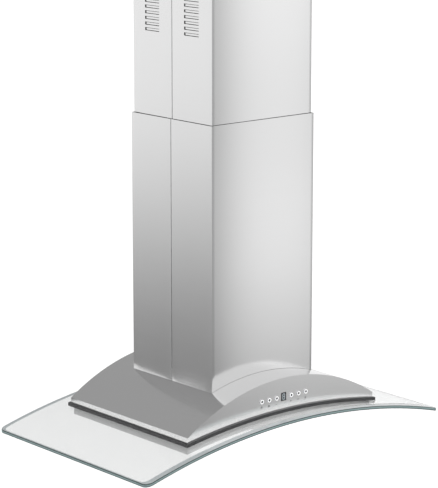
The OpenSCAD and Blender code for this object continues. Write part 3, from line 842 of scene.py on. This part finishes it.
@dataclass
class Chimney:
    """The telescoping covers, the frame they hang on and the ceiling bracket.

    The crown is the arc that the lower cover's foot follows. slot_centre is how far a bank of slots lies from
    the middle of a side, slot_low the foot of its lowest slot, and slot_size a slot's length and height.
    flap_gaps are what a flap leaves open at one end and at its foot, and flap_bend is the share that bends.
    """

    crown_radius: float = 0.5113
    crown_centre: float = -1.497
    slot_centre: float = 0.0688
    slot_low: float = -0.208
    slot_size: tuple[float, float] = (0.050, 0.007)
    slot_pitch: float = 0.0128
    slot_count: int = 13
    flap_depth: float = 0.0012
    flap_thick: float = 0.0004
    flap_gaps: tuple[float, float] = (0.0028, 0.0013)
    flap_bend: float = 0.3
    flap_rows: int = 8

    def build_upper(self) -> None:
        """The two halves of the upper cover with their banks of slots."""
        half_length = self.slot_size[0] / 2
        marks = (self.slot_centre - half_length, self.slot_centre + half_length)
        for side, half in ((-1, "front"), (1, "rear")):
            cover = CoverHalf("upper_chimney_" + half, "ceiling_mount", UPPER_STEEL, side, marks=marks)
            low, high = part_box(cover.node)
            starts = self.slot_low + np.arange(self.slot_count) * self.slot_pitch
            edges = np.sort(np.concatenate([starts, starts + self.slot_size[1]]))
            heights = np.concatenate([np.linspace(low[2], edges[0], 8)[:-1], edges, [high[2]]])
            levels = (heights - low[2]) / (high[2] - low[2])
            plan = cover.plan()
            mid_y = np.abs(plan[:-1, 1] + plan[1:, 1]) / 2
            on_side = np.abs(plan[:-1, 0] - plan[1:, 0]) < MERGE_GAP
            columns = on_side & (mid_y > marks[0]) & (mid_y < marks[1])
            mid_z = (heights[:-1] + heights[1:]) / 2
            over = mid_z[:, None] - starts[None, :]
            rows = np.any((over > 0) & (over < self.slot_size[1]), axis=1)
            cover.build(low[2], levels, rows[:, None] & columns[None, :])

    def build_lower(self) -> None:
        """The two halves of the lower cover, whose foot follows the crown of the body.

        The foot's height at x is centre + sqrt(r * r - x * x).
        """
        for side, half in ((-1, "front"), (1, "rear")):
            cover = CoverHalf("lower_chimney_" + half, "lower_chimney", COVER_STEEL, side)
            x = cover.plan()[:, 0]
            foot = self.crown_centre + np.sqrt(self.crown_radius**2 - x**2)
            cover.build(foot, np.linspace(0.0, 1.0, 6))

    def build_louvres(self) -> None:
        """A flap behind each slot, joined at the slot's top, stepping in and running down beside the sheet.

        Down a flap, s runs from 0 to 1: its depth is the whole depth times the smooth step of s over the
        share that bends, and its height falls by s times the slot's height less the gap at its foot. A
        second skin gives the thickness.
        """
        rows = self.flap_rows
        s = np.linspace(0.0, 1.0, rows)
        step = np.clip(s / self.flap_bend, 0.0, 1.0)
        inwards = self.flap_depth * step * step * (3 - 2 * step)
        length, height = self.slot_size
        end_gap, foot_gap = self.flap_gaps
        sides, centres, steps = np.meshgrid(
            (-1, 1), (-self.slot_centre, self.slot_centre), np.arange(self.slot_count), indexing="ij"
        )
        sides, centres, steps = sides.ravel(), centres.ravel(), steps.ravel()
        skin_in = np.concatenate([inwards, (inwards + self.flap_thick)[::-1]])
        skin_z = np.concatenate([-s, -s[::-1]]) * (height - foot_gap)
        y_ends = np.array([-length / 2, length / 2 - end_gap])
        shape = (len(sides), 2 * rows, 2)
        face_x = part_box("upper_chimney_front")[1][0] - self.flap_thick
        x = sides[:, None, None] * (face_x - skin_in[None, :, None]) + np.zeros(shape)
        y = centres[:, None, None] + y_ends[None, None, :] + np.zeros(shape)
        tops = self.slot_low + height + steps * self.slot_pitch
        z = tops[:, None, None] + skin_z[None, :, None] + np.zeros(shape)
        points = np.stack([x, y, z], -1).reshape(-1, 3)
        k = np.arange(rows - 1)
        caps = [np.stack([k, k + 1, 2 * rows - 2 - k, 2 * rows - 1 - k], 1) * 2 + c for c in (0, 1)]
        one = np.concatenate([grid_faces(2 * rows, 2, True, False), *caps])
        faces = (one[None] + (np.arange(len(sides)) * 4 * rows)[:, None, None]).reshape(-1, 4)
        made = mesh_object("vent_louvres", points, faces, [UPPER_STEEL])
        turn_outwards(made)
        sharpen(made, 35)
        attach(made, "ceiling_mount")
        log.info("built vent_louvres, %d flaps", len(sides))

    def build(self) -> None:
        """Builds the covers and louvres and dresses what they hide."""
        self.build_upper()
        self.build_lower()
        self.build_louvres()
        # The seam strips take the dark zinc: painted shade in the joints between the cover halves.
        dress(ZINC_PAINTED_SHADE, "upper_seam_strips", "lower_seam_strips")
        rails = [f"{level}_rail_{end}_{side}" for level in ("upper", "lower")
                 for end in ("front", "rear") for side in ("left", "right")]
        dress(ZINC, "ceiling_bracket", "upper_brace", *rails)
        dress(SCREW, "mount_screws", "frame_lock_bolts")


@dataclass
class Blower:
    """Fan box, scroll, wheel, motor, collar and damper."""

    def build(self) -> None:
        """Dresses the blower's nodes."""
        dress(ZINC, "fan_box", "scroll_housing", "inlet_ring_left", "inlet_ring_right", "fan_wheel",
              "motor_bracket", "outlet_transition", "duct_collar", "damper_flap_front",
              "damper_flap_rear", "junction_box")
        dress(SCREW, "motor_shaft", "damper_spindle")
        dress(MOTOR, "motor")
        dress(WHITE, "run_capacitor")
        dress(NYLON, "cable_gland")


@dataclass
class GlassCanopy:
    """The bent glass sheet with its bevelled, polished edge.

    bend is the radius of the upper face and hole the opening under the body. The bevel is bevel_side wide at
    the sides and bevel_front at the front and rear. Below it, edge_profile says how far in each row of the
    edge lies and its share of the way down; edge_slots are the finishes from the bevel down: a painted
    reflection on the bevel, painted shade on the rounded parts and the glass's own green on the flat middle.
    """

    width: float = 0.900
    depth: float = 0.552
    corner: float = 0.018
    thickness: float = 0.008
    bend: float = 1.634
    crown_z: float = -1.0669
    hole: tuple[float, float] = (0.510, 0.348)
    hole_corner: float = 0.004
    bevel_side: float = 0.003
    bevel_front: float = 0.015
    edge_profile: tuple[tuple[float, float], ...] = (
        (0.0012, 0.1), (0.0003, 0.15), (0.0, 0.3), (0.0, 0.75), (0.0003, 0.93), (0.001, 1.0)
    )
    edge_slots: tuple[int, ...] = (1, 3, 3, 2, 3, 3)
    counts: tuple[int, int, int] = (60, 30, 14)
    spans: int = 9

    def ring(self, inset: float, front: float | None = None) -> np.ndarray:
        """The outline moved in by inset, and by front along the front and rear edges where that differs."""
        depth = self.depth - 2 * (inset if front is None else front)
        return rounded_loop(self.width - 2 * inset, depth, self.corner - inset, self.counts)

    def heights(self, x: np.ndarray, share: float) -> np.ndarray:
        """Height on the bend.

        The two faces are arcs z = centre + sqrt(r * r - x * x) about one centre, and share 0 is the upper
        face and share 1 the lower one.

        Args:
            x: places across the width.
            share: how far from the upper face to the lower one.

        Returns:
            The heights.
        """
        centre = self.crown_z - self.bend
        upper = centre + np.sqrt(self.bend**2 - x**2)
        lower = centre + np.sqrt((self.bend - self.thickness) ** 2 - x**2)
        return upper * (1 - share) + lower * share

    def build(self) -> None:
        """Sweeps the edge profile round the outline and closes it at the opening under the body."""
        hole = rounded_loop(*self.hole, self.hole_corner, self.counts)
        rim = self.ring(self.bevel_side, self.bevel_front)
        rows: list[tuple[np.ndarray, float]] = []
        for k in range(self.spans + 1):
            rows.append((hole + (rim - hole) * (k / self.spans), 0.0))
        rows += [(self.ring(inset), share) for inset, share in self.edge_profile]
        under = self.ring(self.edge_profile[-1][0])
        for k in range(1, self.spans + 1):
            rows.append((under + (hole - under) * (k / self.spans), 1.0))
        points = np.concatenate([
            np.column_stack([loop, self.heights(loop[:, 0], share)]) for loop, share in rows
        ])
        columns = len(hole)
        faces = grid_faces(len(rows), columns, True, True)[:, ::-1]
        slots = np.zeros(len(rows), int)
        slots[self.spans : self.spans + len(self.edge_slots)] = self.edge_slots
        finishes = [CLEAR, EDGE_PAINTED_REFLECTION, EDGE_MIDDLE, EDGE_PAINTED_SHADE]
        made = mesh_object("glass_sheet", points, faces, finishes, np.repeat(slots, columns))
        turn_outwards(made)
        sharpen(made, 12)
        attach(made, "canopy")
        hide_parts("glass_canopy")
        log.info("built glass_sheet with %d points", len(points))


@dataclass
class HoodBody:
    """The arched steel body with the band that seats it on the glass."""

    body_fold: float = 0.0018
    band_fold: float = 0.0008

    def build(self) -> None:
        """Rounds the body's folds and dresses the parts that hold the glass."""
        softened("hood_body", "canopy", self.body_fold, BODY_STEEL)
        softened("body_band", "canopy", self.band_fold, BAND)
        dress(BAND, "glass_bushings", "tray_seal")
        dress(SCREW, "glass_bolts")


@dataclass
class Controls:
    """Six push buttons, the display and the signs below them.

    back, flange_back and flange_front are how far out of the face those lie. rim lists the rim, which glows
    as a painted highlight, and dish the dark middle, each as how far in from the cap's side and how far out
    of the face.
    """

    pitch: float = 0.0225
    radius: float = 0.005
    face_y: float = -0.214
    height: float = -1.0304
    back: float = -0.0086
    flange: float = 0.0014
    flange_back: float = -0.0055
    flange_front: float = -0.004
    rim: tuple[tuple[float, float], ...] = (
        (0.0, 0.0020), (0.0003, 0.0027), (0.0010, 0.003), (0.0017, 0.0027), (0.0020, 0.0020)
    )
    dish: tuple[tuple[float, float], ...] = ((0.0030, 0.0018), (0.005, 0.0017))
    columns: tuple[int, ...] = (-3, -2, -1, 1, 2, 3)

    def build_button(self, number: int, column: int) -> None:
        """One button: a turned cap whose rim glows as a painted highlight round a dark dished middle.

        Args:
            number: the button's number.
            column: its place in the row, counted from the display.
        """
        r, wide = self.radius, self.radius + self.flange
        profile = [(0.0, self.back), (r, self.back), (r, self.flange_back), (wide, self.flange_back),
                   (wide, self.flange_front), (r, self.flange_front)]
        picks = [0] * len(profile) + [2] * (len(self.rim) - 1) + [1] * len(self.dish)
        profile += [(r - inset, out) for inset, out in self.rim + self.dish]
        name = f"button_{number}"
        centre = (column * self.pitch, self.face_y, self.height)
        made = lathe(name + "_cap", profile, centre, [CHROME, BLACK, RIM_PAINTED_HIGHLIGHT], picks)
        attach(made, name)
        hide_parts(name)
        log.info("built %s", made.name)

    def build(self) -> None:
        """Builds the buttons and dresses the rest."""
        for number, column in enumerate(self.columns, start=1):
            self.build_button(number, column)
        dress(CHROME, "button_bezels")
        dress(INK, "control_icons")
        dress(BLACK, "display_window")
        dress(DIGIT, "display_module")
        dress(BOARD, "control_board")


@dataclass
class Underside:
    """Tray, lamps and hinged baffle filters."""

    tray_fold: float = 0.0004

    def build(self) -> None:
        """Rounds the tray and dresses the lamps, filters and latches."""
        softened("under_tray", "canopy", self.tray_fold, TRAY_STEEL)
        dress(CHROME, "lamp_housings")
        dress(LENS, "lamp_lenses")
        dress(TRAY_STEEL, "filter_left", "filter_right")
        dress(BAFFLE_STEEL, "filter_baffles_left", "filter_baffles_right")
        dress(SCREW, "filter_latch_left", "filter_latch_right")


# ---- Studio ----


@dataclass(frozen=True)
class PaleFloor(Finish):
    """Matt white floor."""

    glow: float = 0.62

    def shade(self, shader: Shader) -> None:
        """White with a soft glow, so that it stays white far away.

        Args:
            shader: the material's node tree.
        """
        shader.surface(
            Base_Color=(0.9, 0.9, 0.9, 1.0),
            Roughness=0.9,
            Emission_Color=(1.0, 1.0, 1.0, 1.0),
            Emission_Strength=self.glow,
        )


@dataclass
class Room:
    """The soft light all round, told by the direction looked in.

    A tone is a share of full white, and a span is where a smooth step starts and ends. Spans are heights of
    the direction, its Z, except wall_span: the cosine of the turn away from the front wall's heading. The
    side wall goes down to side_foot below the horizon and loses side_fade above it. The front wall goes down
    to front_foot and has a faint grey stripe; lobe is its bright middle, lobe_turn degrees to each side.
    """

    heading: float = 45.0
    wall_span: tuple[float, float] = (0.3, 0.85)
    side_foot: float = 0.24
    side_span: tuple[float, float] = (-0.27, -0.14)
    side_fade: float = 0.62
    fade_span: tuple[float, float] = (0.0, 0.4)
    front_foot: float = 0.33
    front_span: tuple[float, float] = (-0.31, -0.2)
    stripe: float = 0.16
    stripe_start: tuple[float, float] = (-0.2, -0.16)
    stripe_end: tuple[float, float] = (-0.15, -0.1)
    front_tone: float = 0.5
    lobe_tone: float = 0.6
    lobe_turn: float = 15.0
    high_tone: float = 0.45
    high_span: tuple[float, float] = (0.0, 0.2)
    least: float = 0.0001

    def walls(self, x: Sock, y: Sock, z: Sock) -> Sock:
        """Light from a direction.

        Args:
            x: the direction's part along X.
            y: its part along Y.
            z: its part along Z.

        Returns:
            side * (1 - share) + front * share, with the front wall's share by heading.
        """
        heading = math.radians(self.heading)
        level = (x * x + y * y + self.least) ** 0.5
        facing = (x * math.sin(heading) - y * math.cos(heading)) / level
        lobe = facing.ramp(math.cos(math.radians(self.lobe_turn)), 1.0)
        share = facing.ramp(*self.wall_span)
        high = z.ramp(*self.high_span)
        fade = 1 - z.ramp(*self.fade_span) * self.side_fade
        side = (self.side_foot + (1 - self.side_foot) * z.ramp(*self.side_span)) * fade
        stripe = z.ramp(*self.stripe_start) * (1 - z.ramp(*self.stripe_end))
        fall = self.front_foot + (1 - self.front_foot) * z.ramp(*self.front_span)
        tones = self.front_tone + self.lobe_tone * lobe * (1 - high) + self.high_tone * high
        front = fall * (1 - self.stripe * stripe) * tones
        return side * (1 - share) + front * share

    def build(self) -> None:
        """Makes the world."""
        world = bpy.data.worlds.new("studio")
        bpy.context.scene.world = world
        world.use_nodes = True
        shader = Shader(world.node_tree)
        way = shader.node("ShaderNodeTexCoord").outputs["Generated"]
        parts = shader.node("ShaderNodeSeparateXYZ", None, {0: way}).outputs
        light = self.walls(*(shader.number(part) for part in parts[:3]))
        back = shader.node("ShaderNodeBackground", None, {"Color": (1.0, 1.0, 1.0, 1.0), "Strength": light})
        shader.node("ShaderNodeOutputWorld", None, {"Surface": back.outputs[0]})


@dataclass
class Studio:
    """Camera, floor and panel light, with the room around them."""

    floor_z: float = -7.0
    floor_reach: float = 120.0
    azimuth: float = -40.669
    elevation: float = 12.104
    distance: float = 5.034
    target: Triple = (-0.010589, 0.0, -0.7077)
    lens: float = 159.95
    panel_place: Triple = (-1.2, -3.0, 1.6)
    panel_aim: Triple = (0.0, 0.0, -0.9)
    panel_size: tuple[float, float] = (3.0, 2.0)
    panel_watts: float = 6.0

    def build_floor(self) -> None:
        """A very large pale floor that metal doesn't mirror."""
        grid = np.linspace(-self.floor_reach, self.floor_reach, 3)
        x, y = np.meshgrid(grid, grid)
        points = np.stack([x, y, np.full_like(x, self.floor_z)], -1).reshape(-1, 3)
        floor = mesh_object("floor", points, grid_faces(3, 3, False, False), [PaleFloor("floor")])
        floor.visible_glossy = False

    def build_lights(self) -> None:
        """One soft panel above the control side."""
        data = bpy.data.lights.new("panel", "AREA")
        data.shape = "RECTANGLE"
        data.size, data.size_y = self.panel_size
        data.energy = self.panel_watts
        panel = bpy.data.objects.new("panel", data)
        panel.location = self.panel_place
        panel.rotation_euler = (Vector(self.panel_aim) - panel.location).to_track_quat("-Z", "Y").to_euler()
        panel.visible_camera = False
        bpy.context.scene.collection.objects.link(panel)

    def build_camera(self) -> None:
        """A long lens at the elevation and azimuth given, aimed at the target."""
        a, e = math.radians(self.azimuth), math.radians(self.elevation)
        back = Vector((math.sin(a) * math.cos(e), -math.cos(a) * math.cos(e), math.sin(e)))
        data = bpy.data.cameras.new("camera")
        data.sensor_width = 36.0
        data.lens = self.lens
        data.clip_start, data.clip_end = 0.05, 500.0
        camera = bpy.data.objects.new("camera", data)
        camera.location = Vector(self.target) + back * self.distance
        camera.rotation_euler = (-back).to_track_quat("-Z", "Y").to_euler()
        bpy.context.scene.collection.objects.link(camera)
        bpy.context.scene.camera = camera

    def build(self) -> None:
        """Builds the studio and keeps tones as they are measured."""
        bpy.context.scene.view_settings.view_transform = "Standard"
        self.build_camera()
        self.build_floor()
        Room().build()
        self.build_lights()
        log.info("built the studio")


def main() -> None:
    """Builds every sub-assembly in order."""
    logging.basicConfig(level=logging.INFO, format="%(name)s: %(message)s")
    Studio().build()
    Chimney().build()
    Blower().build()
    HoodBody().build()
    GlassCanopy().build()
    Controls().build()
    Underside().build()


if __name__ == "__main__":
    main()
